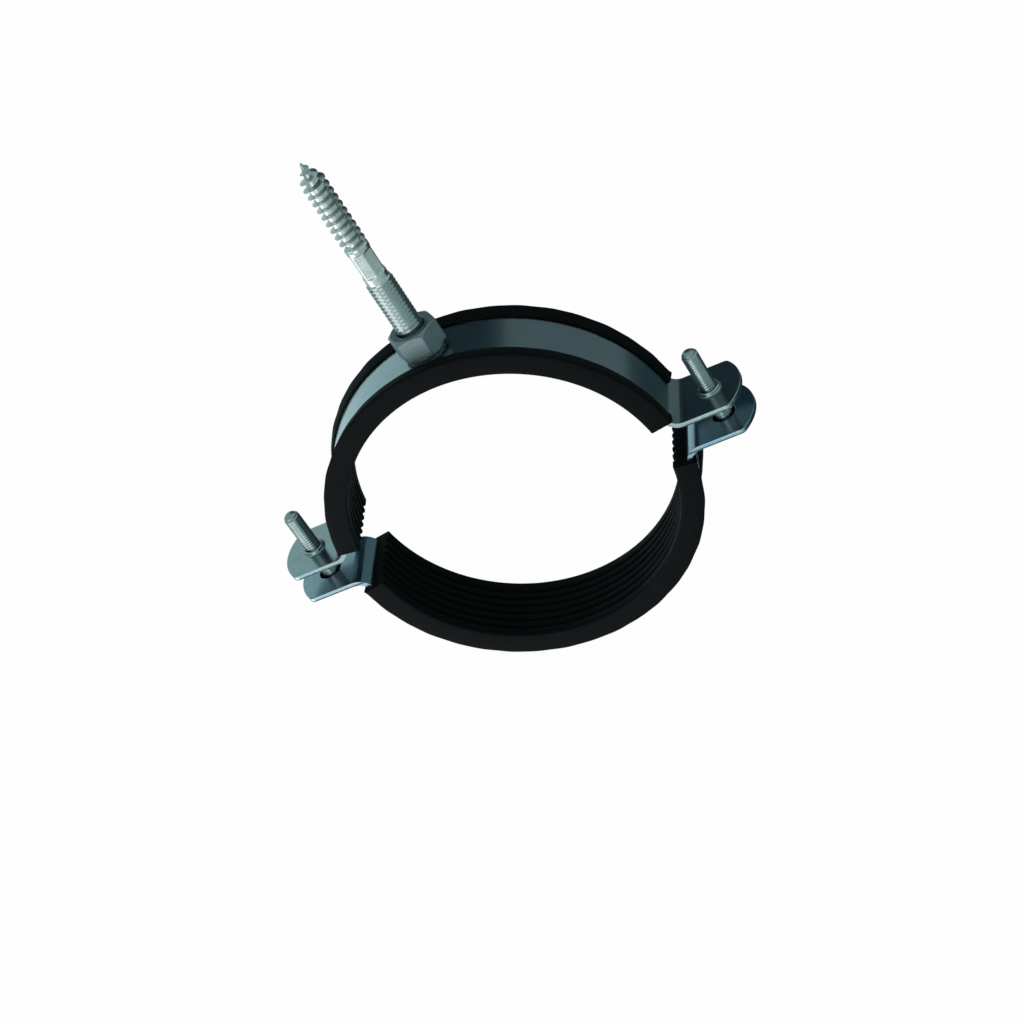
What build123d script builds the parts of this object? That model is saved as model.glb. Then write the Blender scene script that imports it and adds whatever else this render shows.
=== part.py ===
from build123d import *
from math import asin, cos, degrees, radians, sin, sqrt, tan
import os

# Two-screw pipe clamp with a rubber lining, hung on a hanger bolt.
# Millimetres. The origin is the centre of the pipe bore, Y runs along the pipe,
# X runs from screw to screw and +Z runs up the hanger bolt.

os.makedirs("parts", exist_ok=True)

# ---- driving dimensions -------------------------------------------------

# steel band halves
bore_radius = 46.6          # to the tips of the lining's ribs
band_width = 21.0
band_thickness = 1.5
lug_gap = 7.6               # between the facing sides of the two halves' lugs
lug_margin = 9.3            # screw axis to the outermost point of a lug
lug_end_radius = 16.0       # the lug's end is a shallow arc
lug_corner_radius = 1.8
fold_radius = 4.0           # inside radius of the fold between arc and lug

# rubber lining
rib_count = 5
rib_height = 1.3
groove_width = 2.0          # at the mouth; the grooves are vee-shaped
bead_width = 3.0            # plain raised bead along each edge
web_thickness = 2.7         # rubber between the band and the groove floors
side_thickness = 1.4        # rubber beside the band's edges
lip_thickness = 1.4         # rubber over the band's outer face, at the edge
lip_edge_thickness = 0.9    # the same at the lip's free edge
lip_width = 4.6             # side face to the lip's free edge
lining_corner_chamfer = 0.5
lining_end_lap = 1.5        # rubber past the end of the band's arc, over the fold

# clamp screws, M5
screw_diameter = 4.9
screw_length = 25.0
screw_from_band = 11.2      # band's outer face to screw axis
screw_clearance_hole = 7.0
screw_point_chamfer = 0.7
screw_head_diameter = 9.6
screw_head_height = 3.6
screw_head_rim = 1.2        # straight side of the head, next to the lug
screw_crown_diameter = 6.6
recess_span = 5.0
recess_width = 1.2
recess_depth = 2.0
recess_taper = 12.0
tapped_collar_diameter = 6.6
tapped_collar_height = 1.0
tapped_collar_chamfer = 0.3

# hanger nut, M8, welded to the top of the upper band
nut_across_flats = 13.0
nut_height = 8.4            # above the band's crown
nut_chamfer_angle = 30.0
nut_face_share = 0.94       # the top bearing circle against the flats
nut_mouth_chamfer = 0.5

# hanger bolt, M8 below and wood screw above, both plain over their crests
bolt_diameter = 7.9
bolt_end_gap = 1.2          # bolt's lower end to the band
bolt_end_chamfer = 0.9
machine_thread_length = 25.0
shank_diameter = 6.9
shank_length = 11.2
shank_step = 0.6
grip_across_flats = 6.1
grip_turn = -34.0           # degrees, the way one flat faces
grip_length = 8.6
grip_runout = 0.8
wood_thread_length = 28.8
wood_thread_diameter = 7.2  # over its crests
wood_runin_length = 2.4     # from the shank out to full diameter
wood_point_length = 6.0     # the cone at the tip

# running clearance of a thread in its tapped hole, on the radius
thread_clearance = 0.05

# ---- derived places -----------------------------------------------------

band_inner = bore_radius + rib_height + web_thickness
band_outer = band_inner + band_thickness
lining_outer = band_outer + lip_thickness
band_half = band_width / 2
lining_half = band_half + side_thickness

lug_face = lug_gap / 2
lug_top = lug_face + band_thickness
fold_height = lug_top + fold_radius
fold_angle = degrees(asin(fold_height / (band_outer + fold_radius)))
fold_x = (band_outer + fold_radius) * cos(radians(fold_angle))
screw_offset = band_outer + screw_from_band
lug_reach = screw_offset + lug_margin
lug_side_x = lug_reach - lug_end_radius + sqrt(lug_end_radius**2 - band_half**2)
lining_end_angle = fold_angle - degrees(lining_end_lap / band_outer)

screw_radius = screw_diameter / 2
tapped_radius = screw_radius + thread_clearance
screw_seat = -lug_top

nut_top = band_outer + nut_height
nut_corner_radius = nut_across_flats / sqrt(3)
nut_face_radius = nut_across_flats / 2 * nut_face_share
nut_corner_drop = (nut_corner_radius - nut_face_radius) * tan(radians(nut_chamfer_angle))

bolt_radius = bolt_diameter / 2
nut_bore_radius = bolt_radius + thread_clearance
bolt_bottom = band_outer + bolt_end_gap
shank_bottom = bolt_bottom + machine_thread_length
wood_bottom = shank_bottom + shank_length
bolt_tip = wood_bottom + wood_thread_length
shank_radius = shank_diameter / 2
wood_radius = wood_thread_diameter / 2


# ---- steel band ---------------------------------------------------------

# One half is a strip bent to half a circle with both ends folded out as lugs.
with BuildPart() as band_strip:
    with BuildSketch(Plane.XZ):
        with BuildLine():
            CenterArc((0, 0), band_outer, fold_angle, 90 - fold_angle)
            CenterArc((fold_x, fold_height), fold_radius, 180 + fold_angle, 90 - fold_angle)
            Polyline(
                (fold_x, lug_top),
                (lug_reach, lug_top),
                (lug_reach, lug_face),
                (fold_x, lug_face),
            )
            CenterArc(
                (fold_x, fold_height),
                fold_radius + band_thickness,
                180 + fold_angle,
                90 - fold_angle,
            )
            CenterArc((0, 0), band_inner, fold_angle, 90 - fold_angle)
            mirror(about=Plane.YZ)
        make_face()
    extrude(amount=band_half, both=True)
    # the blank's outline: shallow arcs across the ends, with rounded corners
    with BuildSketch(Plane.XY.offset(lug_face)) as band_outline:
        with BuildLine():
            ThreePointArc((lug_side_x, -band_half), (lug_reach, 0), (lug_side_x, band_half))
            Line((lug_side_x, band_half), (0, band_half))
            Line((lug_side_x, -band_half), (0, -band_half))
            mirror(about=Plane.YZ)
        make_face()
        lug_corners = band_outline.vertices().filter_by(lambda v: abs(v.X) > lug_side_x / 2)
        fillet(lug_corners, lug_corner_radius)
    extrude(amount=band_outer - lug_face, mode=Mode.INTERSECT)

# The upper half carries the tapped holes, drawn up into short collars.
with BuildPart() as upper_band:
    add(band_strip.part)
    with BuildSketch(Plane.XY.offset(lug_top)):
        with Locations((-screw_offset, 0), (screw_offset, 0)):
            Circle(tapped_collar_diameter / 2)
    extrude(amount=tapped_collar_height)
    collar_edges = upper_band.edges().filter_by(GeomType.CIRCLE).filter_by(
        lambda e: abs(e.center().Z - lug_top - tapped_collar_height) < 0.01
    )
    chamfer(collar_edges, tapped_collar_chamfer)
    with Locations((-screw_offset, 0, lug_top), (screw_offset, 0, lug_top)):
        Hole(tapped_radius)
upper_band.part.label = "upper_band"

# The lower half has plain clearance holes.
with BuildPart() as lower_band:
    mirror(band_strip.part, about=Plane.XY)
    with Locations((-screw_offset, 0, -lug_face), (screw_offset, 0, -lug_face)):
        Hole(screw_clearance_hole / 2)
lower_band.part.label = "lower_band"


# ---- rubber lining ------------------------------------------------------

# The section wraps the band's edges with a lip on each side and carries
# ribs along the pipe face. It is swept round the bore, and where it laps over
# the folds the band is cut out of it.
groove_pitch = (2 * (lining_half - bead_width) - groove_width) / rib_count
end_direction = (cos(radians(lining_end_angle)), 0, sin(radians(lining_end_angle)))
end_normal = (-sin(radians(lining_end_angle)), 0, cos(radians(lining_end_angle)))

with BuildPart() as upper_lining:
    with BuildSketch(Plane(origin=(0, 0, 0), x_dir=end_direction, z_dir=end_normal)) as lining_section:
        with BuildLine():
            Polyline(
                (bore_radius, 0),
                (bore_radius, lining_half),
                (lining_outer, lining_half),
                (band_outer + lip_edge_thickness, lining_half - lip_width),
                (band_outer, lining_half - lip_width),
                (band_outer, band_half),
                (band_inner, band_half),
                (band_inner, 0),
            )
            mirror(about=Plane.XZ)
        make_face()
        outer_corners = lining_section.vertices().filter_by(
            lambda v: abs(abs(v.Y) - lining_half) < 0.01
        )
        chamfer(outer_corners, lining_corner_chamfer)
        for groove in range(rib_count + 1):
            groove_y = (groove - rib_count / 2) * groove_pitch
            Polygon(
                (bore_radius, groove_y - groove_width / 2),
                (bore_radius + rib_height, groove_y),
                (bore_radius, groove_y + groove_width / 2),
                align=None,
                mode=Mode.SUBTRACT,
            )
    revolve(axis=Axis((0, 0, 0), (0, -1, 0)), revolution_arc=180 - 2 * lining_end_angle)
    add(band_strip.part, mode=Mode.SUBTRACT)
upper_lining.part.label = "upper_lining"

with BuildPart() as lower_lining:
    mirror(upper_lining.part, about=Plane.XY)
lower_lining.part.label = "lower_lining"


# ---- hanger nut ---------------------------------------------------------

# A hexagon bedded on the band's crown, chamfered round its top corners.
with BuildPart() as hanger_nut:
    with BuildSketch():
        RegularPolygon(nut_across_flats / 2, 6, major_radius=False)
    extrude(amount=nut_top)
    with BuildSketch(Plane.XZ):
        Polygon(
            (0, 0),
            (nut_corner_radius, 0),
            (nut_corner_radius, nut_top - nut_corner_drop),
            (nut_face_radius, nut_top),
            (0, nut_top),
            align=None,
        )
    revolve(axis=Axis.Z, mode=Mode.INTERSECT)
    with Locations((0, 0, 0)):
        Cylinder(band_outer, band_width, rotation=(90, 0, 0), mode=Mode.SUBTRACT)
    with Locations((0, 0, nut_top)):
        Hole(nut_bore_radius)
    mouth_edge = hanger_nut.edges().filter_by(GeomType.CIRCLE).sort_by(Axis.Z)[-1]
    chamfer(mouth_edge, nut_mouth_chamfer)
hanger_nut.part.label = "hanger_nut"


# ---- hanger bolt --------------------------------------------------------

# One pressed flat of the shank's hexagonal grip, run out at both ends.
grip_middle = shank_bottom + shank_step + (shank_length - shank_step) / 2
grip_half = grip_length / 2
with BuildPart() as grip_flat:
    with BuildSketch(Plane.XZ):
        Polygon(
            (grip_across_flats / 2, grip_middle - grip_half + grip_runout),
            (grip_across_flats / 2, grip_middle + grip_half - grip_runout),
            (grip_across_flats / 2 + grip_runout, grip_middle + grip_half),
            (grip_across_flats / 2 + grip_runout, grip_middle - grip_half),
            align=None,
        )
    extrude(amount=shank_radius, both=True)

with BuildPart() as hanger_bolt:
    with BuildSketch(Plane.XZ):
        Polygon(
            (0, bolt_bottom),
            (bolt_radius - bolt_end_chamfer, bolt_bottom),
            (bolt_radius, bolt_bottom + bolt_end_chamfer),
            (bolt_radius, shank_bottom),
            (shank_radius, shank_bottom + shank_step),
            (shank_radius, wood_bottom),
            (wood_radius, wood_bottom + wood_runin_length),
            (wood_radius, bolt_tip - wood_point_length),
            (0, bolt_tip),
            align=None,
        )
    revolve(axis=Axis.Z)
    with PolarLocations(0, 6, start_angle=grip_turn):
        add(grip_flat.part, mode=Mode.SUBTRACT)
hanger_bolt.part.label = "hanger_bolt"


# ---- clamp screws -------------------------------------------------------

def clamp_screw(axis_x, label):
    """A cross-recessed pan-head screw, head under the lower lug, point up."""
    head_crown = screw_seat - screw_head_height
    with BuildPart() as screw:
        with BuildSketch(Plane.XZ.shift_origin((axis_x, 0, 0))):
            Polygon(
                (0, head_crown),
                (0, screw_seat + screw_length),
                (screw_radius - screw_point_chamfer, screw_seat + screw_length),
                (screw_radius, screw_seat + screw_length - screw_point_chamfer),
                (screw_radius, screw_seat),
                (screw_head_diameter / 2, screw_seat),
                (screw_head_diameter / 2, screw_seat - screw_head_rim),
                (screw_crown_diameter / 2, head_crown),
                align=None,
            )
        revolve(axis=Axis((axis_x, 0, 0), (0, 0, 1)))
        with BuildSketch(Plane((axis_x, 0, head_crown))):
            Rectangle(recess_span, recess_width)
            Rectangle(recess_width, recess_span)
        extrude(amount=recess_depth, taper=recess_taper, mode=Mode.SUBTRACT)
    screw.part.label = label
    return screw


clamp_screw_left = clamp_screw(-screw_offset, "clamp_screw_left")
clamp_screw_right = clamp_screw(screw_offset, "clamp_screw_right")


# ---- written pieces -----------------------------------------------------

for piece in (
    upper_band,
    lower_band,
    upper_lining,
    lower_lining,
    hanger_nut,
    hanger_bolt,
    clamp_screw_left,
    clamp_screw_right,
):
    export_step(piece.part, f"parts/{piece.part.label}.step")
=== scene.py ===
"""Two-screw pipe clamp with a ribbed rubber lining, hung on a hanger bolt.

The steel bands are the CAD nodes with broken edges. The rubber linings, the
hanger nut, the hanger bolt and the clamp screws are made here as surfaces worked
out with numpy, in millimetres, and stand for their CAD nodes. The weld under the
nut and the roots of the drawn collars are small forms that only this scene has.
"""

import bmesh
import bpy
import numpy as np
from mathutils import Matrix, Vector


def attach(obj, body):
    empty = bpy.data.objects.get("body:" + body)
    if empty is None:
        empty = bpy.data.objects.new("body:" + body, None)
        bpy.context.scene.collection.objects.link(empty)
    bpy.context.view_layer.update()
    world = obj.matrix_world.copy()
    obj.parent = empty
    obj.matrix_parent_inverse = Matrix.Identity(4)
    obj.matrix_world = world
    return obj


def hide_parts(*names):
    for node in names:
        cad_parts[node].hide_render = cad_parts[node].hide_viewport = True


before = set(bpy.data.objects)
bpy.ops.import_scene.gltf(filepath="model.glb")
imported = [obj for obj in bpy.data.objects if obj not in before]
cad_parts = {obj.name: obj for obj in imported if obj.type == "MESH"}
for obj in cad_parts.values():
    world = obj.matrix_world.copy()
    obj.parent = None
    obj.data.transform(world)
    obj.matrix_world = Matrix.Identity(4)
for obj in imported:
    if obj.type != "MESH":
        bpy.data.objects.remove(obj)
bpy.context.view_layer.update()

MM = 0.001

# ---- sizes in mm, as in the solids unless noted --------------------------

# steel bands
BAND_INNER = 50.6
BAND_OUTER = 52.1
BAND_THICKNESS = BAND_OUTER - BAND_INNER
BAND_HALF = 10.5
LUG_TOP = 5.3                 # the outer face of a lug, from the parting plane
FOLD_RADIUS = 4.0
FOLD_DEG = 9.543              # where the arc ends and the fold begins
COLLAR_RADIUS = 3.3
BROKEN_EDGE = 0.18            # not in the solids
COLLAR_HOLLOW = 0.35          # at the collar's root, not in the solids

# rubber lining
BORE_RADIUS = 46.6
LINING_END_DEG = 7.893
LINING_HALF = 11.9
LINING_OUTER = 53.5
LINING_PLAY = 0.02            # rubber to steel
LIP_WIDTH = 4.6
LIP_EDGE_THICKNESS = 0.6      # thinner than the solid's
BEAD_WIDTH = 3.0
RIB_COUNT = 5
RIB_HEIGHT = 1.3
GROOVE_WIDTH = 2.0            # at the mouth
GROOVE_FLOOR_HALF = 0.16
BEAD_ROUNDING = 0.7
RIB_ROUNDING = 0.25
GROOVE_ROUNDING = 0.15
LIP_ROUNDING = 0.85
LIP_EDGE_ROUNDING = 0.4
CHANNEL_ROUNDING = 0.08
LIP_WANDER = 0.05             # each of two waves along the lips
END_STAND_BACK = 0.006        # radians, of the ends' corners
LINING_STEPS = 200

# clamp screws, M5
SCREW_X = 63.3
SCREW_RADIUS = 2.45
SCREW_PITCH = 0.8
SCREW_THREAD_DEPTH = 0.46
SCREW_THREAD_RUNOUT = 0.8     # under the head
SCREW_SEAT = -5.3
SCREW_TOP = 19.7
SCREW_POINT_RADIUS = 1.4
SCREW_POINT_CROWN = 0.3
SCREW_HEAD_RADIUS = 4.8
SCREW_HEAD_HEIGHT = 3.6
SCREW_HEAD_RIM = 1.2
SCREW_HEAD_EDGE = 0.2         # broken edge of the seat
SCREW_HEAD_DRAW = 2.15        # how far the dome draws in from the rim
# the cross recess, ring by ring: arm, half width of the arm, depth
SCREW_RECESS = ((2.45, 0.657, 0.0), (2.35, 0.6, 0.12), (1.55, 0.36, 1.9), (0.0, 0.0, 2.2))

# hanger bolt, from its lower end up
BOLT_RADIUS = 3.95
BOLT_PITCH = 1.25
BOLT_THREAD_DEPTH = 0.6
BOLT_CREST_RUNOUT = 1.1
BOLT_ROOT_RUNOUT = 1.6
BOLT_END_CHAMFER = 0.9
BOLT_BOTTOM = 53.3
SHANK_BOTTOM = 78.3
SHANK_RADIUS = 3.45
SHANK_STEP = 0.6
GRIP_HALF_FLATS = 3.05
GRIP_TURN_DEG = -34.0
GRIP_LENGTH = 8.6
GRIP_RUNOUT = 0.8
GRIP_RUNOUT_RISE = 0.55
WOOD_BOTTOM = 89.5
WOOD_PITCH = 2.3
WOOD_CREST = 3.6
WOOD_CORE = 2.5
WOOD_CREST_RUNIN = 2.4
WOOD_CREST_POINT = 6.0        # where the crests begin to draw in, from the tip
WOOD_ROOT_RUNIN = 1.6
WOOD_ROOT_POINT = 8.0
BOLT_TIP = 118.3

# hanger nut; it stands on a ring of weld here, and on the band in the solids
NUT_CORNER = 7.5
NUT_BLUNTING = 0.1            # off each corner
NUT_FACE = 6.11               # the bearing circle on top
NUT_FACE_EDGE = 0.12
NUT_TOP = 60.5
NUT_FOOT = 53.3
NUT_FOOT_CHAMFER = 0.25
NUT_FOOT_BEARING = 5.2
NUT_BORE = 4.05
NUT_BORE_CHAMFER = 0.5
NUT_CHAMFER_DEG = 30.0
NUT_CHAMFER_REACH = 1.4
WELD_RADIUS = 5.0
WELD_HALF_WIDTH = 0.85
WELD_OVERLAP = 0.35           # into band and nut

# a thread's tooth: shares of the pitch where its root ends and its crest begins,
# and for the wood thread how far the flanks sag
MACHINE_TOOTH = (0.125, 0.43)
WOOD_TOOTH = (0.24, 0.47, 0.14)


# ---- mesh helpers -------------------------------------------------------

def new_object(name, data):
    """An object with this data, linked into the scene."""
    made = bpy.data.objects.new(name, data)
    bpy.context.scene.collection.objects.link(made)
    return made


def finish_piece(name, points, faces, material, body, crease_deg=38.0, caps=()):
    """One mesh object from points in mm, quads and many-sided caps: doubles
    merged, faces turned outwards, smooth shading with edges sharper than
    crease_deg kept crisp."""
    mesh = bpy.data.meshes.new(name)
    mesh.from_pydata((points * MM).tolist(), [], faces.tolist() + [list(cap) for cap in caps])
    merged = bmesh.new()
    merged.from_mesh(mesh)
    bmesh.ops.remove_doubles(merged, verts=merged.verts, dist=2e-6)
    bmesh.ops.recalc_face_normals(merged, faces=merged.faces)
    merged.to_mesh(mesh)
    merged.free()
    mesh.shade_smooth()
    mesh.set_sharp_from_angle(angle=np.radians(crease_deg))
    mesh.materials.append(material)
    piece = new_object(name, mesh)
    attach(piece, body)
    return piece


def even_angles(columns, turn=0.0):
    """This many even steps round a full turn, from turn on."""
    return turn + np.arange(columns) * 2 * np.pi / columns


def grid_faces(rows, columns, wrap_rows=False, wrap_columns=False):
    """Quads of a rows by columns grid of points, closed where it wraps."""
    row = np.arange(rows if wrap_rows else rows - 1)
    column = np.arange(columns if wrap_columns else columns - 1)
    i, j = np.meshgrid(row, column, indexing="ij")
    i_next, j_next = (i + 1) % rows, (j + 1) % columns
    quads = (
        i * columns + j,
        i_next * columns + j,
        i_next * columns + j_next,
        i * columns + j_next,
    )
    return np.stack([quad.ravel() for quad in quads], axis=1)


def join_shells(*shells):
    """Several (points, faces) as one, each one's faces counted on from the last."""
    points, faces, start = [], [], 0
    for shell_points, shell_faces in shells:
        points.append(shell_points)
        faces.append(shell_faces + start)
        start += len(shell_points)
    return np.concatenate(points), np.concatenate(faces)


def turned_rings(radii, heights, angles, closed=False):
    """A surface of revolution about Z: ring k has radius radii[k] at heights[k].
    Either may also be an array over the angles, for a ring that isn't round or
    level. A closed one joins its last ring to its first."""
    radii, heights = (
        np.stack([np.broadcast_to(value, len(angles)) for value in values])
        for values in (radii, heights)
    )
    points = np.stack([radii * np.cos(angles), radii * np.sin(angles), heights], axis=-1)
    faces = grid_faces(*heights.shape, wrap_rows=closed, wrap_columns=True)
    return points.reshape(-1, 3), faces


def threaded_shell(bottom, top, pitch, tooth_form, core, crest, columns, turn=0.0):
    """A right-hand thread from bottom to top. The grid runs along the helix:
    column i stands at angle 2 pi i / columns and rises by one pitch a turn, and
    across it lie the phases of one tooth. The radius is core(z) plus the tooth's
    height at that phase times crest(z) - core(z). Heights are clipped to the two
    ends, where the grid's columns meet the rings that go on from there."""
    phases, tooth = tooth_form
    width = len(phases)
    turns = int(np.ceil((top - bottom) / pitch)) + 1
    column = np.arange((turns + 1) * columns + 1)
    rise = column[:, None] / columns + np.asarray(phases)[None, :] - 1
    height = np.clip(bottom + pitch * rise, bottom, top)
    angle = np.repeat(2 * np.pi * column[:, None] / columns, width, axis=1)
    phase = np.mod((height - bottom) / pitch - angle / (2 * np.pi), 1)
    radius = core(height) + tooth(phase) * (crest(height) - core(height))
    angle = angle + turn
    points = np.stack([radius * np.cos(angle), radius * np.sin(angle), height], axis=-1)

    # the last phase of a column meets the first of the column one turn on
    i, j = np.meshgrid(np.arange(turns * columns), np.arange(width), indexing="ij")
    i_up = i + (j + 1) // width * columns
    j_next = (j + 1) % width
    quads = (
        i * width + j,
        (i + 1) * width + j,
        (i_up + 1) * width + j_next,
        i_up * width + j_next,
    )
    return points.reshape(-1, 3), np.stack([quad.ravel() for quad in quads], axis=1)


def tooth_shape(root_share, crest_share, sag=0.0):
    """Phases of one thread tooth and its height over phase: root, flank, crest
    about 0.5 and flank. sag hollows the flanks by that share of the height."""
    flank = (root_share + crest_share) / 2
    rising = [0.0, root_share, flank, crest_share, 0.5]
    phases = rising + [1 - crest_share, 1 - flank, 1 - root_share]
    heights = [0.0, 0.0, 0.5 - sag, 1.0, 1.0, 1.0, 0.5 - sag, 0.0]
    return phases, lambda phase: np.interp(phase, phases + [1.0], heights + [0.0])


def rounded_outline(corners, steps=4):
    """A closed outline with each corner (x, y, radius) rounded by a quadratic
    curve that touches both of its sides where an arc of that radius would."""
    corners = np.asarray(corners, float)
    place, radius = corners[:, :2], corners[:, 2]
    back = np.roll(place, 1, axis=0) - place
    ahead = np.roll(place, -1, axis=0) - place
    back /= np.linalg.norm(back, axis=1)[:, None]
    ahead /= np.linalg.norm(ahead, axis=1)[:, None]
    half = np.arccos(np.clip((back * ahead).sum(axis=1), -1, 1)) / 2
    reach = radius / np.tan(half)
    start = (place + back * reach[:, None])[:, None]
    end = (place + ahead * reach[:, None])[:, None]
    share = np.linspace(0, 1, steps + 1)[None, :, None]
    middle = 2 * share * (1 - share) * place[:, None]
    return ((1 - share) ** 2 * start + middle + share**2 * end).reshape(-1, 2)


def smooth_lesser(first, second, softness):
    """The lesser of two lengths, blended where they come within the softness."""
    return -softness * np.logaddexp(-np.asarray(first) / softness, -np.asarray(second) / softness)


# ---- shader helpers -----------------------------------------------------

def new_finish(name):
    """An empty material with a Principled shader: (material, tree, shader)."""
    material = bpy.data.materials.new(name)
    material.use_nodes = True
    tree = material.node_tree
    return material, tree, tree.nodes["Principled BSDF"]


def feed(tree, socket, value):
    """Link a socket into this one, or set it to a plain value."""
    if hasattr(value, "is_linked"):
        tree.links.new(value, socket)
    else:
        socket.default_value = value


def node(tree, kind, operation=None, values=(), **settings):
    """A node with its operation, its input values by place or name, and settings."""
    made = tree.nodes.new(kind)
    if operation:
        made.operation = operation
    for key, value in settings.items():
        setattr(made, key, value)
    for key, value in dict(values).items():
        feed(tree, made.inputs[key], value)
    return made


def reckon(tree, operation, *values):
    """The result of an operation on numbers or sockets of numbers."""
    return node(tree, "ShaderNodeMath", operation, enumerate(values)).outputs[0]


def reckon_vector(tree, operation, *values):
    """The vector that an operation on vectors gives."""
    return node(tree, "ShaderNodeVectorMath", operation, enumerate(values)).outputs[0]


def length_of(tree, vector):
    """The socket of a vector's length."""
    return node(tree, "ShaderNodeVectorMath", "LENGTH", {0: vector}).outputs["Value"]


def parts_of(tree, vector):
    """The sockets of a vector's x, y and z."""
    return node(tree, "ShaderNodeSeparateXYZ", values={0: vector}).outputs


def vector_of(tree, *parts):
    """The vector of these numbers or sockets."""
    return node(tree, "ShaderNodeCombineXYZ", values=enumerate(parts)).outputs[0]


def millimetres(tree):
    """Object coordinates in millimetres."""
    place = node(tree, "ShaderNodeTexCoord").outputs["Object"]
    values = {0: place, "Scale": 1 / MM}
    return node(tree, "ShaderNodeVectorMath", "SCALE", values).outputs[0]


def along_the_bend(tree, along):
    """Coordinates that follow the ring: radius, width, and the arc length round
    the bore scaled by along, so that a noise read here is drawn out into lines
    that run the way the strip was rolled or extruded."""
    x, y, z = parts_of(tree, millimetres(tree))
    radius = length_of(tree, vector_of(tree, x, 0.0, z))
    angle = reckon(tree, "ARCTAN2", z, x)
    return vector_of(tree, radius, y, reckon(tree, "MULTIPLY", angle, BAND_OUTER * along))


def noise(tree, vector, scale, detail=3.0, roughness=0.55):
    """Noise from 0 to 1 at this many cells to the coordinate's unit."""
    values = {"Vector": vector, "Scale": scale, "Detail": detail, "Roughness": roughness}
    return node(tree, "ShaderNodeTexNoise", values=values).outputs["Fac"]


def remap(tree, value, low, high, to_low, to_high, smooth=False):
    """value from low..high to to_low..to_high, held at both ends."""
    made = node(
        tree,
        "ShaderNodeMapRange",
        values={"Value": value, 1: low, 2: high, 3: to_low, 4: to_high},
        interpolation_type="SMOOTHSTEP" if smooth else "LINEAR",
        clamp=True,
    )
    return made.outputs["Result"]


def blend_colours(tree, factor, low, high):
    """The colour low where factor is 0 and high where it is 1."""
    low, high = ((*colour, 1.0) if isinstance(colour, tuple) else colour for colour in (low, high))
    values = {0: factor, 6: low, 7: high}
    return node(tree, "ShaderNodeMix", values=values, data_type="RGBA").outputs[2]


def bumps(tree, layers):
    """The normal of bump layers (height, distance in mm, strength), each on the
    one before."""
    values = {}
    for height, distance, strength in layers:
        values |= {"Height": height, "Distance": distance * MM, "Strength": strength}
        values["Normal"] = node(tree, "ShaderNodeBump", values=values).outputs["Normal"]
    return values["Normal"]


def make_metal(tree, shader, colour, roughness):
    """Give the shader a metal of this colour and roughness."""
    feed(tree, shader.inputs["Base Color"], colour)
    feed(tree, shader.inputs["Roughness"], roughness)
    shader.inputs["Metallic"].default_value = 1.0


# ---- finishes -----------------------------------------------------------

ZINC = (0.22, 0.255, 0.25)
ZINC_LIGHT = (0.36, 0.39, 0.38)
# dull patches of the zinc, and also the painted shade in thread grooves
ZINC_DULL_AND_SHADE = (0.17, 0.205, 0.205)
ZINC_BLUE = (0.21, 0.265, 0.29)
# painted blue reflection: the deeper blue of the lower band
ZINC_PAINTED_BLUE_REFLECTION = (0.15, 0.235, 0.305)
ZINC_BROKEN = (0.02, 0.028, 0.03)
SCREW_ZINC = (0.18, 0.205, 0.2)
SCREW_LIGHT = (0.34, 0.36, 0.35)
NUT_ZINC = (0.125, 0.152, 0.16)
BOLT_ZINC = (0.33, 0.345, 0.325)
BOLT_LIGHT = (0.45, 0.45, 0.43)
RUBBER = (0.003, 0.0035, 0.004)
RUBBER_BLOOM = (0.0075, 0.0085, 0.009)
RUBBER_LINES = (0.0095, 0.0105, 0.011)


def torn_edges(tree, place):
    """How far a spot on a lug's sheared edge is where the strip tore away: the
    upper part of its thickness is smooth, where the blade cut, and the line
    between the two is ragged. Everything that doesn't face sideways is 0."""
    coordinates = node(tree, "ShaderNodeTexCoord")
    sideways = reckon(tree, "ABSOLUTE", parts_of(tree, coordinates.outputs["Normal"])[1])
    # height above the lower face of whichever lug, upper or lower, this is
    lifted = reckon(tree, "ADD", parts_of(tree, place)[2], LUG_TOP)
    through = reckon(tree, "FLOORED_MODULO", lifted, 2 * LUG_TOP - BAND_THICKNESS)
    ragged = reckon(tree, "MULTIPLY_ADD", noise(tree, place, 1.5), 0.5, through)
    return reckon(
        tree,
        "MULTIPLY",
        remap(tree, ragged, 0.72, 0.86, 0.85, 0.0),
        remap(tree, sideways, 0.8, 0.95, 0.0, 1.0),
    )


def zinc_on_strip(name, tone, drift):
    """Bright zinc on rolled strip: drawn-out rolling lines, a cloudy passivation
    that drifts from tone to the blue of drift, a satin gloss and torn edges.
    Where tone and drift are bluer still, that extra blue is a painted reflection."""
    material, tree, shader = new_finish(name)
    lines = noise(tree, along_the_bend(tree, along=0.02), 2.4, detail=2.0)
    place = millimetres(tree)
    cloud = noise(tree, place, 0.07, detail=2.0)
    mottle = noise(tree, place, 0.25, detail=2.0)
    dulled = remap(tree, mottle, 0.4, 0.8, 0.0, 0.4, smooth=True)
    colour = blend_colours(tree, remap(tree, cloud, 0.35, 0.68, 0.0, 1.0), tone, drift)
    colour = blend_colours(tree, dulled, colour, ZINC_DULL_AND_SHADE)
    colour = blend_colours(tree, remap(tree, lines, 0.4, 0.8, 0.0, 0.3), colour, ZINC_LIGHT)
    colour = blend_colours(tree, torn_edges(tree, place), colour, ZINC_BROKEN)
    make_metal(tree, shader, colour, remap(tree, mottle, 0.3, 0.8, 0.2, 0.24, smooth=True))
    return material


def zinc_on_nut():
    """Duller zinc on a cold-forged nut, satin all over and a little mottled."""
    material, tree, shader = new_finish("zinc_on_nut")
    mottle = noise(tree, millimetres(tree), 0.9, detail=4.0, roughness=0.65)
    colour = blend_colours(tree, remap(tree, mottle, 0.3, 0.75, 0.0, 1.0), NUT_ZINC, ZINC_DULL_AND_SHADE)
    make_metal(tree, shader, colour, remap(tree, mottle, 0.3, 0.8, 0.42, 0.55))
    return material


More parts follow.
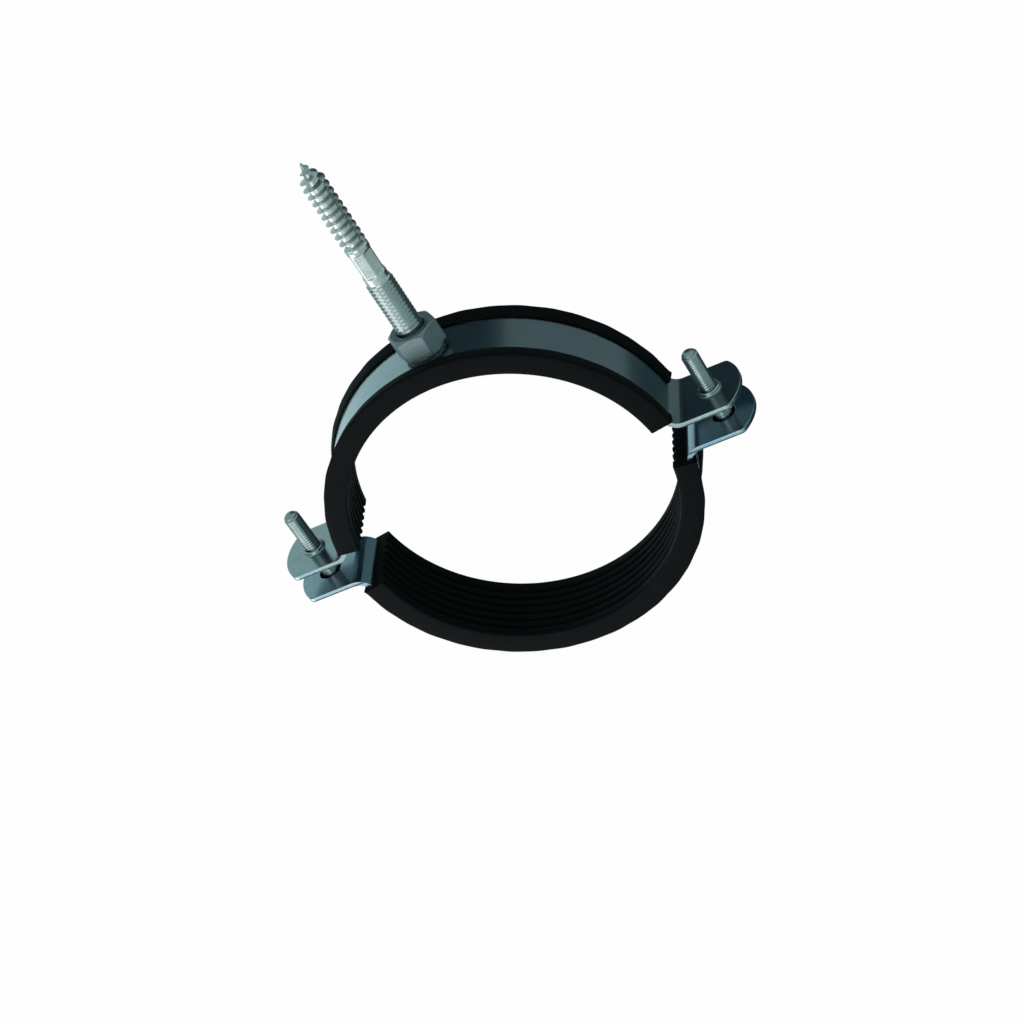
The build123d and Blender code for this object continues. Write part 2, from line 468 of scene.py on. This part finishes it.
def zinc_on_thread(name, axis_x, root, crest, body, light, soft_below, softness):
    """Bright zinc on a rolled thread about the axis at axis_x: cloudy from body to
    light, with dull specks, and darker from the radius crest down to root, a painted shade in the
    thread's grooves.
    Below the height soft_below the colour is darker, and the normal is drawn
    towards the bare cylinder's by the share softness, which softens the fine
    thread's flanks."""
    material, tree, shader = new_finish(name)
    place = millimetres(tree)
    level = reckon_vector(tree, "SUBTRACT", place, (axis_x, 0, 0))
    level = reckon_vector(tree, "MULTIPLY", level, (1, 1, 0))
    specks = noise(tree, place, 3.2, detail=4.0, roughness=0.7)
    cloud = noise(tree, place, 0.22)
    soft = remap(tree, parts_of(tree, place)[2], soft_below - 1, soft_below, softness, 0.0)
    painted_groove_shade = remap(tree, length_of(tree, level), root, crest, 0.35, 1.0)
    colour = blend_colours(tree, remap(tree, cloud, 0.35, 0.7, 0.0, 1.0), body, light)
    colour = blend_colours(tree, remap(tree, specks, 0.6, 0.85, 0.0, 0.5), colour, ZINC_DULL_AND_SHADE)
    # painted shade: the colour darkens from the crests down into the thread's grooves
    colour = blend_colours(tree, painted_groove_shade, ZINC_DULL_AND_SHADE, colour)
    # the colour is darker over the thread below soft_below
    colour = blend_colours(tree, reckon(tree, "MULTIPLY", soft, 0.8), colour, ZINC_DULL_AND_SHADE)
    make_metal(tree, shader, colour, remap(tree, specks, 0.3, 0.8, 0.24, 0.38))

    outward = node(
        tree,
        "ShaderNodeVectorTransform",
        values={0: reckon_vector(tree, "NORMALIZE", level)},
        vector_type="NORMAL",
        convert_from="OBJECT",
        convert_to="WORLD",
    )
    true_normal = node(tree, "ShaderNodeNewGeometry").outputs["Normal"]
    values = {0: soft, 4: true_normal, 5: outward.outputs[0]}
    mixed = node(tree, "ShaderNodeMix", values=values, data_type="VECTOR")
    feed(tree, shader.inputs["Normal"], reckon_vector(tree, "NORMALIZE", mixed.outputs[1]))
    return material


def extruded_rubber():
    """Black EPDM: extrusion lines along the strip, a fine skin, and a faint grey
    bloom that gathers in clouds."""
    material, tree, shader = new_finish("extruded_rubber")
    lines = noise(tree, along_the_bend(tree, along=0.025), 3.4, detail=4.0, roughness=0.65)
    place = millimetres(tree)
    skin = noise(tree, place, 7.0, roughness=0.6)
    bloom = noise(tree, place, 0.16, detail=4.0, roughness=0.6)
    colour = blend_colours(tree, remap(tree, bloom, 0.4, 0.75, 0.0, 1.0), RUBBER, RUBBER_BLOOM)
    colour = blend_colours(tree, remap(tree, lines, 0.55, 0.85, 0.0, 0.5), colour, RUBBER_LINES)
    feed(tree, shader.inputs["Base Color"], colour)
    feed(tree, shader.inputs["Roughness"], remap(tree, bloom, 0.3, 0.75, 0.62, 0.78))
    feed(tree, shader.inputs["Normal"], bumps(tree, ((lines, 0.05, 0.5), (skin, 0.03, 0.45))))
    shader.inputs["Specular IOR Level"].default_value = 0.05
    return material


strip_zinc = zinc_on_strip("zinc_on_strip", ZINC, ZINC_BLUE)
# painted reflection: the lower band's bluer tone and drift stand in for blue reflections on its
# lugs
lower_strip_zinc_painted_blue = zinc_on_strip("zinc_on_lower_strip_painted_blue", ZINC_BLUE, ZINC_PAINTED_BLUE_REFLECTION)
nut_zinc = zinc_on_nut()
bolt_zinc = zinc_on_thread(
    "zinc_on_hanger_bolt",
    axis_x=0.0,
    root=0.5,
    crest=3.0,
    body=BOLT_ZINC,
    light=BOLT_LIGHT,
    soft_below=SHANK_BOTTOM,
    softness=0.88,
)
left_screw_zinc, right_screw_zinc = (
    zinc_on_thread(
        f"zinc_on_{hand}_screw",
        axis_x=axis_x,
        root=1.95,
        crest=2.4,
        body=SCREW_ZINC,
        light=SCREW_LIGHT,
        soft_below=SCREW_TOP - 1,
        softness=0.75,
    )
    for hand, axis_x in (("left", -SCREW_X), ("right", SCREW_X))
)
rubber = extruded_rubber()


# ---- steel bands: the CAD nodes with broken edges ------------------------

def break_edges(name, material):
    """The CAD node keeps its mesh; its facets are welded and its sheared edges
    rounded, so that they catch the light as real edges do."""
    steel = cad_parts[name]
    for slot in steel.material_slots:
        slot.material = material
    steel.modifiers.new("join_facets", "WELD").merge_threshold = 1e-6
    edge = steel.modifiers.new("broken_edges", "BEVEL")
    edge.width = BROKEN_EDGE * MM
    edge.segments = 3
    edge.limit_method = "ANGLE"
    edge.angle_limit = np.radians(35)
    edge.use_clamp_overlap = False
    even = steel.modifiers.new("even_shading", "WEIGHTED_NORMAL")
    even.weight = 100
    even.keep_sharp = True


break_edges("upper_band", strip_zinc)
break_edges("lower_band", lower_strip_zinc_painted_blue)


# ---- rubber linings -----------------------------------------------------

def lining_outline():
    """The lining's section as (radius, width) in mm: beads and ribs along the
    bore, side faces, tapered lips, and the channel that holds the band."""
    pitch = (2 * (LINING_HALF - BEAD_WIDTH) - GROOVE_WIDTH) / RIB_COUNT
    floor = BORE_RADIUS + RIB_HEIGHT
    corners = [(BORE_RADIUS, -LINING_HALF, BEAD_ROUNDING)]
    for groove in range(RIB_COUNT + 1):
        middle = (groove - RIB_COUNT / 2) * pitch
        corners += [
            (BORE_RADIUS, middle - GROOVE_WIDTH / 2, RIB_ROUNDING),
            (floor, middle - GROOVE_FLOOR_HALF, GROOVE_ROUNDING),
            (floor, middle + GROOVE_FLOOR_HALF, GROOVE_ROUNDING),
            (BORE_RADIUS, middle + GROOVE_WIDTH / 2, RIB_ROUNDING),
        ]
    lip_end = LINING_HALF - LIP_WIDTH
    side = [
        (LINING_OUTER, LINING_HALF, LIP_ROUNDING),
        (BAND_OUTER + LIP_EDGE_THICKNESS, lip_end, LIP_EDGE_ROUNDING),
        (BAND_OUTER + LINING_PLAY, lip_end + 0.1, CHANNEL_ROUNDING),
        (BAND_OUTER + LINING_PLAY, BAND_HALF + LINING_PLAY, CHANNEL_ROUNDING),
        (BAND_INNER - LINING_PLAY, BAND_HALF + LINING_PLAY, CHANNEL_ROUNDING),
    ]
    corners += [(BORE_RADIUS, LINING_HALF, BEAD_ROUNDING)] + side
    corners += [(radius, -width, rounding) for radius, width, rounding in reversed(side)]
    return rounded_outline(corners)


def fold_lift(angle, radius):
    """How far the rubber past the arc's end lifts with the band's fold, whose
    centre lies a fold radius outside the band. All of the rubber outside the
    band's inner face lifts, and the ribs stay where they are."""
    centre = BAND_OUTER + FOLD_RADIUS
    past = np.clip(np.radians(FOLD_DEG) - np.minimum(angle, np.pi - angle), 0, None)
    rise = centre * np.cos(past) - np.sqrt(FOLD_RADIUS**2 - (centre * np.sin(past)) ** 2)
    return (rise - BAND_OUTER) * np.clip((radius - BAND_INNER + 0.6) / 0.5, 0, 1)


def lip_wander(angle, radius, share, side):
    """How far the lips wander in and out, by a few hundredths, but not at the
    ends, where share is -1 or 1. side gives each half a wander of its own."""
    over = np.clip((radius - BAND_OUTER) / (LINING_OUTER - BAND_OUTER), 0, 1)
    waves = np.sin(angle * 23 + side) + np.sin(angle * 41 + 2 * side)
    return LIP_WANDER * over * waves * np.clip((1 - np.abs(share)) * 12, 0, 1)


def lining(name, node_name, body, side):
    """The section carried round the bore: point (radius, width) goes to
    (radius cos a, width, side radius sin a) for a from end to end. The ends are
    cut a little rounded, so that their corners stand back."""
    outline = lining_outline()
    radius, width = outline[None, :, 0], outline[None, :, 1]
    share = np.linspace(-1, 1, LINING_STEPS + 1)[:, None]
    angle = np.linspace(LINING_END_DEG, 180 - LINING_END_DEG, LINING_STEPS + 1)
    angle = np.radians(angle)[:, None]
    # the high power keeps this to the last few degrees
    stand_back = END_STAND_BACK * (np.abs(width) / LINING_HALF) * np.abs(share) ** 24
    turned = angle - np.sign(share) * stand_back
    reach = radius + (lip_wander(angle, radius, share, side) + fold_lift(angle, radius))
    points = np.stack(
        [reach * np.cos(turned), width + 0 * angle, side * reach * np.sin(turned)],
        axis=-1,
    )
    rows, columns = points.shape[:2]
    piece = finish_piece(
        name,
        points.reshape(-1, 3),
        grid_faces(rows, columns, wrap_columns=True),
        rubber,
        body,
        crease_deg=50.0,
        caps=(range(columns), range((rows - 1) * columns, rows * columns)),
    )
    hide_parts(node_name)


lining("ribbed_lining_upper", "upper_lining", "upper_half", 1)
lining("ribbed_lining_lower", "lower_lining", "lower_half", -1)


# ---- hanger bolt --------------------------------------------------------

def machine_crest(z):
    """The M8 thread's crests, chamfered at the lower end and run out into the
    shank."""
    heights = [
        BOLT_BOTTOM,
        BOLT_BOTTOM + BOLT_END_CHAMFER,
        SHANK_BOTTOM - BOLT_CREST_RUNOUT,
        SHANK_BOTTOM,
    ]
    end_radius = BOLT_RADIUS - BOLT_END_CHAMFER
    return np.interp(z, heights, [end_radius, BOLT_RADIUS, BOLT_RADIUS, SHANK_RADIUS])


def machine_core(z):
    """The M8 thread's roots, which rise to the shank in little more than a turn."""
    heights = [SHANK_BOTTOM - BOLT_ROOT_RUNOUT, SHANK_BOTTOM]
    radii = [BOLT_RADIUS - BOLT_THREAD_DEPTH, SHANK_RADIUS]
    return np.minimum(np.interp(z, heights, radii), machine_crest(z))


def wood_core(z):
    """The wood thread's roots, from the shank to the sharp point."""
    heights = [
        WOOD_BOTTOM,
        WOOD_BOTTOM + WOOD_ROOT_RUNIN,
        BOLT_TIP - WOOD_ROOT_POINT,
        BOLT_TIP - 1.2,
        BOLT_TIP,
    ]
    return np.interp(z, heights, [SHANK_RADIUS, WOOD_CORE, WOOD_CORE, 0.5, 0.0])


def wood_crest(z):
    """The wood thread's crests, which go on nearly to the sharp point."""
    heights = [
        WOOD_BOTTOM,
        WOOD_BOTTOM + WOOD_CREST_RUNIN,
        BOLT_TIP - WOOD_CREST_POINT,
        BOLT_TIP - 0.8,
        BOLT_TIP,
    ]
    full = np.interp(z, heights, [SHANK_RADIUS, WOOD_CREST, WOOD_CREST, 0.55, 0.0])
    return np.maximum(full, wood_core(z))


def pressed_grip(angles):
    """The shank, with six pressed flats that run out at both ends."""
    middle = SHANK_BOTTOM + SHANK_STEP + (WOOD_BOTTOM - SHANK_BOTTOM - SHANK_STEP) / 2
    rows = np.linspace(SHANK_BOTTOM, WOOD_BOTTOM, 75)
    beyond = np.clip(np.abs(rows - middle) - (GRIP_LENGTH / 2 - GRIP_RUNOUT), 0, None)
    lift = (beyond / GRIP_RUNOUT) ** 2 * GRIP_RUNOUT_RISE
    from_flat = np.mod(np.degrees(angles) - GRIP_TURN_DEG + 30, 60) - 30
    flats = (GRIP_HALF_FLATS + lift[:, None]) / np.cos(np.radians(from_flat))[None, :]
    return turned_rings(np.minimum(flats, SHANK_RADIUS), rows, angles)


def hanger_bolt():
    """Machine thread, hexagonal grip and wood thread as one closed surface."""
    columns = 96
    turn = np.radians(GRIP_TURN_DEG)
    angles = even_angles(columns, turn)
    machine = threaded_shell(
        BOLT_BOTTOM,
        SHANK_BOTTOM,
        BOLT_PITCH,
        tooth_shape(*MACHINE_TOOTH),
        machine_core,
        machine_crest,
        columns,
        turn,
    )
    end_radii = [0.0, BOLT_RADIUS - BOLT_END_CHAMFER]
    lower_end = turned_rings(end_radii, [BOLT_BOTTOM, BOLT_BOTTOM], angles)
    wood = threaded_shell(
        WOOD_BOTTOM,
        BOLT_TIP,
        WOOD_PITCH,
        tooth_shape(*WOOD_TOOTH),
        wood_core,
        wood_crest,
        columns,
        turn,
    )
    points, faces = join_shells(machine, lower_end, pressed_grip(angles), wood)
    piece = finish_piece(
        "threaded_hanger_bolt", points, faces, bolt_zinc, "hanger", crease_deg=34.0
    )
    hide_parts("hanger_bolt")


hanger_bolt()


# ---- clamp screws -------------------------------------------------------

def cross_ring(angles, arm, half_width):
    """A cross as a ring: the nearer of the arm's end and its side at each angle."""
    folded = np.abs(np.mod(angles + np.pi / 4, np.pi / 2) - np.pi / 4)
    return np.minimum(arm / np.cos(folded), half_width / np.maximum(np.sin(folded), 1e-6))


def pan_head(angles):
    """Flat seat, rounded rim and domed crown, down into the cross recess."""
    rim = SCREW_SEAT - SCREW_HEAD_RIM
    seat_radius = SCREW_HEAD_RADIUS - SCREW_HEAD_EDGE
    radii = [SCREW_RADIUS, seat_radius, SCREW_HEAD_RADIUS, SCREW_HEAD_RADIUS]
    heights = [SCREW_SEAT, SCREW_SEAT, SCREW_SEAT - SCREW_HEAD_EDGE, rim]
    for dome in np.linspace(0.0, np.pi / 2, 9)[1:]:
        radii.append(SCREW_HEAD_RADIUS - SCREW_HEAD_DRAW * (1 - np.cos(dome)))
        heights.append(rim - (SCREW_HEAD_HEIGHT - SCREW_HEAD_RIM) * np.sin(dome))
    for arm, half_width, depth in SCREW_RECESS:
        radii.append(cross_ring(angles, arm, half_width))
        heights.append(SCREW_SEAT - SCREW_HEAD_HEIGHT + depth)
    return turned_rings(radii, heights, angles)


def clamp_screw(name, node_name, body, axis_x, material):
    """M5 pan-head screw, head down, with its thread up to the chamfered point."""
    columns = 72
    angles = even_angles(columns)
    tip = SCREW_TOP - SCREW_POINT_CROWN

    def crest(z):
        heights = [SCREW_SEAT, tip - 1.2, tip - 0.5, tip]
        radii = [SCREW_RADIUS, SCREW_RADIUS, SCREW_RADIUS - 0.45, SCREW_POINT_RADIUS]
        return np.interp(z, heights, radii)

    def core(z):
        heights = [SCREW_SEAT, SCREW_SEAT + SCREW_THREAD_RUNOUT]
        radii = [SCREW_RADIUS, SCREW_RADIUS - SCREW_THREAD_DEPTH]
        return np.minimum(np.interp(z, heights, radii), crest(z))

    tooth_form = tooth_shape(*MACHINE_TOOTH)
    thread = threaded_shell(SCREW_SEAT, tip, SCREW_PITCH, tooth_form, core, crest, columns)
    point = turned_rings(
        SCREW_POINT_RADIUS * np.array([1.0, 0.8, 0.5, 0.25, 0.0]),
        SCREW_TOP - SCREW_POINT_CROWN * np.array([1.0, 0.55, 0.2, 0.05, 0.0]),
        angles,
    )
    points, faces = join_shells(thread, point, pan_head(angles))
    piece = finish_piece(name, points + [axis_x, 0.0, 0.0], faces, material, body)
    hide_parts(node_name)


clamp_screw("threaded_screw_left", "clamp_screw_left", "left_screw", -SCREW_X, left_screw_zinc)
clamp_screw("threaded_screw_right", "clamp_screw_right", "right_screw", SCREW_X, right_screw_zinc)


# ---- nut, weld and collars on the upper band -----------------------------

def collar_roots():
    """The rounded roots of the two drawn collars: a quarter-round hollow turned
    about each screw's axis, sunk a little into collar and lug."""
    sunk = 0.2
    closer = 0.01  # so that no gap shows beside the collar's flat facets
    sweep = np.linspace(0, np.pi / 2, 7)
    outer = COLLAR_RADIUS + COLLAR_HOLLOW - closer
    inner = COLLAR_RADIUS - sunk
    hollow = COLLAR_RADIUS + COLLAR_HOLLOW * (1 - np.sin(sweep)) - closer
    rise = LUG_TOP + COLLAR_HOLLOW * (1 - np.cos(sweep))
    radii = [*hollow, inner, inner, outer]
    heights = [*rise, LUG_TOP + COLLAR_HOLLOW, LUG_TOP - sunk, LUG_TOP - sunk]
    ring, faces = turned_rings(radii, heights, even_angles(64), closed=True)
    left = (ring - [SCREW_X, 0, 0], faces)
    right = (ring + [SCREW_X, 0, 0], faces)
    points, faces = join_shells(left, right)
    piece = finish_piece("drawn_collar_roots", points, faces, strip_zinc, "upper_half")


def formed_nut():
    """The hexagon nut with softened edges: its wall is the smooth lesser of the
    hexagon, a cap that blunts the corners, and the cone chamfer below the face.
    It stands on its weld, so the hexagon ends a little above the band's crown."""
    angles = even_angles(240)
    from_flat = np.mod(np.degrees(angles), 60) - 30
    hexagon = NUT_CORNER * np.cos(np.pi / 6) / np.cos(np.radians(from_flat))
    wall = smooth_lesser(hexagon, NUT_CORNER - NUT_BLUNTING, 0.05)
    radii = [NUT_BORE, NUT_FOOT_BEARING, wall - NUT_FOOT_CHAMFER]
    heights = [NUT_FOOT, NUT_FOOT, NUT_FOOT]
    height = NUT_TOP - NUT_FOOT
    for drop in (height - NUT_FOOT_CHAMFER, *np.linspace(NUT_CHAMFER_REACH, 0.0, 29)):
        cone = NUT_FACE + drop / np.tan(np.radians(NUT_CHAMFER_DEG))
        radii.append(smooth_lesser(wall, cone, 0.06))
        heights.append(NUT_TOP - drop)
    radii += [NUT_FACE - NUT_FACE_EDGE, NUT_BORE + NUT_BORE_CHAMFER, NUT_BORE, NUT_BORE]
    heights += [NUT_TOP, NUT_TOP, NUT_TOP - NUT_BORE_CHAMFER, NUT_FOOT]
    points, faces = turned_rings(radii, heights, angles)
    piece = finish_piece(
        "formed_hanger_nut", points, faces, nut_zinc, "upper_half", crease_deg=25.0
    )
    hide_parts("hanger_nut")


def ring_weld():
    """The weld that the nut stands on: a ring that swells in ripples. Its section
    is an ellipse that bridges from the band's crown to the nut's underside."""
    steps, around = 144, 20
    heading = even_angles(steps)
    ripple = 1 + 0.09 * np.sin(heading * 17) + 0.06 * np.sin(heading * 9 + 1)
    band = np.sqrt(BAND_OUTER**2 - (WELD_RADIUS * np.cos(heading)) ** 2)
    middle = (band + NUT_FOOT) / 2
    tall = (NUT_FOOT - band) / 2 + WELD_OVERLAP
    section = even_angles(around)
    reach = WELD_RADIUS + WELD_HALF_WIDTH * ripple[:, None] * np.cos(section)
    points = np.stack(
        [
            reach * np.cos(heading)[:, None],
            reach * np.sin(heading)[:, None],
            middle[:, None] + tall[:, None] * np.sin(section),
        ],
        axis=-1,
    ).reshape(-1, 3)
    faces = grid_faces(steps, around, wrap_rows=True, wrap_columns=True)
    piece = finish_piece("nut_weld", points, faces, nut_zinc, "upper_half", crease_deg=60.0)


collar_roots()
formed_nut()
ring_weld()


# ---- floor, light and camera --------------------------------------------

ROOM_TINT = (0.68, 0.97, 1.0)
FLOOR_HALF = 6000
FLOOR_DROP = 320

CAMERA_PLACE = (232.37, -579.16, 391.26)
CAMERA_LOOKING = (-0.3204, 0.7796, -0.5381)
CAMERA_UPWARDS = (0.349, 0.6252, 0.6981)


def shown_light(tree):
    """How far a ray is one that looks, from a camera or off a gloss, and what it
    sees: plain white, or the room's cool tint where it comes off a gloss."""
    path = node(tree, "ShaderNodeLightPath").outputs
    seen = reckon(tree, "MAXIMUM", path["Is Camera Ray"], path["Is Glossy Ray"])
    seen = reckon(tree, "MAXIMUM", seen, path["Is Transmission Ray"])
    return seen, blend_colours(tree, path["Is Glossy Ray"], (1.0, 1.0, 1.0), ROOM_TINT)


def glow(tree, colour):
    """A shader that shows this colour whatever the light."""
    return node(tree, "ShaderNodeEmission", values={"Color": colour, "Strength": 1.0}).outputs[0]


def facing(place, target):
    """The matrix that stands something at place with its back, +Z, away from
    target, both in mm."""
    turn = (Vector(place) - Vector(target)).to_track_quat("Z", "Y")
    return Matrix.Translation(Vector(place) * MM) @ turn.to_matrix().to_4x4()


def sheet(name, size, standing, material):
    """A flat rectangle of this size in mm, turned and placed by a matrix."""
    x, y = size[0] / 2 * MM, size[1] / 2 * MM
    corners = [(-x, -y, 0), (x, -y, 0), (x, y, 0), (-x, y, 0)]
    mesh = bpy.data.meshes.new(name)
    mesh.from_pydata([tuple(standing @ Vector(corner)) for corner in corners], [], [(0, 1, 2, 3)])
    mesh.materials.append(material)
    return new_object(name, mesh)


def studio_floor():
    """A wide pale floor under the hanging clamp."""
    material, tree, shader = new_finish("pale_floor")
    shader.inputs["Base Color"].default_value = (0.85, 0.85, 0.85, 1)
    shader.inputs["Roughness"].default_value = 0.9
    shader.inputs["Specular IOR Level"].default_value = 0.0
    seen, colour = shown_light(tree)
    values = {0: reckon(tree, "MULTIPLY", seen, 0.985), 1: shader.outputs[0], 2: glow(tree, colour)}
    mixed = node(tree, "ShaderNodeMixShader", values=values)
    feed(tree, tree.nodes["Material Output"].inputs["Surface"], mixed.outputs[0])
    standing = Matrix.Translation((0, 0, -FLOOR_DROP * MM))
    floor = sheet("studio_floor", (2 * FLOOR_HALF, 2 * FLOOR_HALF), standing, material)


def studio_sky():
    """Soft even light from all round, white where the camera looks at it."""
    world = bpy.data.worlds.new("studio_sky")
    world.use_nodes = True
    bpy.context.scene.world = world
    tree = world.node_tree
    background = tree.nodes["Background"]
    seen, colour = shown_light(tree)
    feed(tree, background.inputs["Color"], colour)
    feed(tree, background.inputs["Strength"], remap(tree, seen, 0.0, 1.0, 0.12, 1.0))


def softbox(name, place, target, size, strength):
    """A rectangular lamp at place, facing target, in mm. Its strength is how
    bright its face looks next to white, whatever its size."""
    lamp = bpy.data.lights.new(name, "AREA")
    lamp.shape = "RECTANGLE"
    lamp.size, lamp.size_y = size[0] * MM, size[1] * MM
    lamp.energy = strength * np.pi * lamp.size * lamp.size_y
    box = new_object(name, lamp)
    box.matrix_world = facing(place, target)
    box.visible_camera = False


def shade_card(name, place, target, size, shade):
    """A card that only gloss sees, with its own shade whatever the light, to give
    the metal a darker side."""
    material, tree, _ = new_finish(name)
    feed(tree, tree.nodes["Material Output"].inputs["Surface"], glow(tree, (*shade, 1)))
    card = sheet(name, size, facing(place, target), material)
    card.visible_camera = False
    card.visible_diffuse = False
    card.visible_shadow = False


def studio_camera():
    """The camera, before and above the clamp, rolled so that the bolt leans left."""
    data = bpy.data.cameras.new("camera")
    data.sensor_width = 36.0
    data.lens = 91.4
    data.clip_start = 0.05
    data.clip_end = 30.0
    camera = new_object("camera", data)
    looking = Vector(CAMERA_LOOKING).normalized()
    side = looking.cross(Vector(CAMERA_UPWARDS)).normalized()
    turned = Matrix((side, side.cross(looking), -looking)).transposed().to_4x4()
    camera.matrix_world = Matrix.Translation(Vector(CAMERA_PLACE) * MM) @ turned
    bpy.context.scene.camera = camera


studio_floor()
studio_sky()
softbox("left_box", (-340, -170, -180), (0, 0, 50), (330, 330), 2.8)
softbox("front_low", (-60, -260, -200), (0, 0, 0), (420, 120), 0.8)
softbox("key_box", (-150, -650, 60), (0, 0, 20), (450, 450), 2.2)
shade_card("rear_card", (-50, 420, 290), (-50, 0, 20), (330, 420), (0.02, 0.045, 0.06))
shade_card("rear_right_card", (280, 430, 140), (280, 0, 100), (420, 600), (0.19, 0.27, 0.29))
shade_card("right_card", (218, 233, -165), (0, 0, 40), (500, 340), (0.04, 0.08, 0.09))
shade_card("low_right_card", (394, 69, -245), (0, 0, -245), (670, 110), (0.04, 0.08, 0.09))
studio_camera()

bpy.context.scene.view_settings.view_transform = "Standard"
